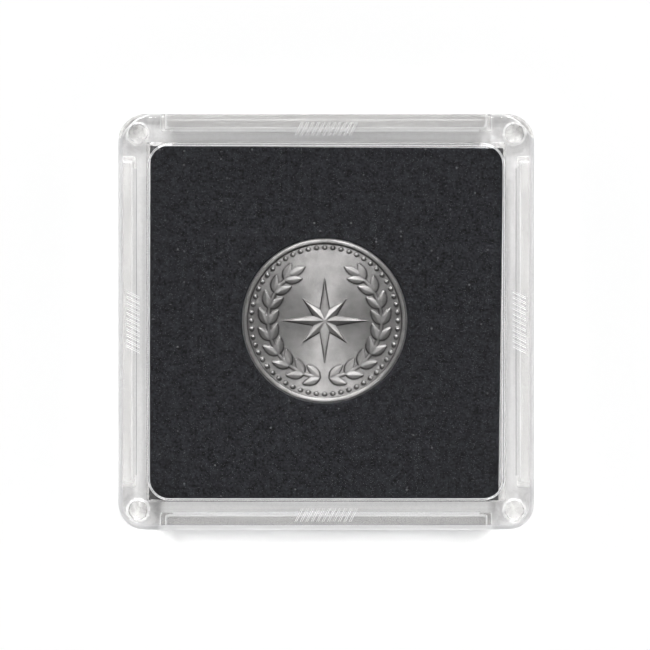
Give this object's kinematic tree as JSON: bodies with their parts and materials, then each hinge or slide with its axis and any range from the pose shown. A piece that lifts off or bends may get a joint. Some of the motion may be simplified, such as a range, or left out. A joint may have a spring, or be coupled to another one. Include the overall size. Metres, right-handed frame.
{
  "type": "snap-lock coin holder",
  "caption": "Clear square holder whose front and back covers snap together round a black foam insert with a coin seated in its round hole.",
  "frame": {"origin": "centre of the back cover's outer face, on the plane of its raised frame", "axes": "+Z out of the front window, +Y towards the top rail, +X to the right seen from the front; the holder lies on its back"},
  "size_m": [0.0536, 0.0536, 0.0064],
  "materials": {
    "clear_plastic": "gloss",
    "black_foam": "matte",
    "coin_metal": "satin"
  },
  "bodies": {
    "back_cover": {"back_cover": "clear_plastic"},
    "front_cover": {"front_cover": "clear_plastic"},
    "foam_insert": {"foam_insert": "black_foam"},
    "coin": {"coin": "coin_metal"}
  },
  "joints": [
    {"name": "cover_lift", "type": "slide", "parent": "back_cover", "child": "front_cover", "axis": [0, 0, 1], "range_m": [0, 0.024]},
    {"name": "insert_lift", "type": "slide", "parent": "back_cover", "child": "foam_insert", "axis": [0, 0, 1], "range_m": [0, 0.0084]},
    {"name": "coin_lift", "type": "slide", "parent": "foam_insert", "child": "coin", "axis": [0, 0, 1], "range_m": [0, 0.0072]}
  ],
  "couplings": [
    {"joint": "insert_lift", "follows": "cover_lift", "ratio": 0.35},
    {"joint": "coin_lift", "follows": "cover_lift", "ratio": 0.3}
  ]
}
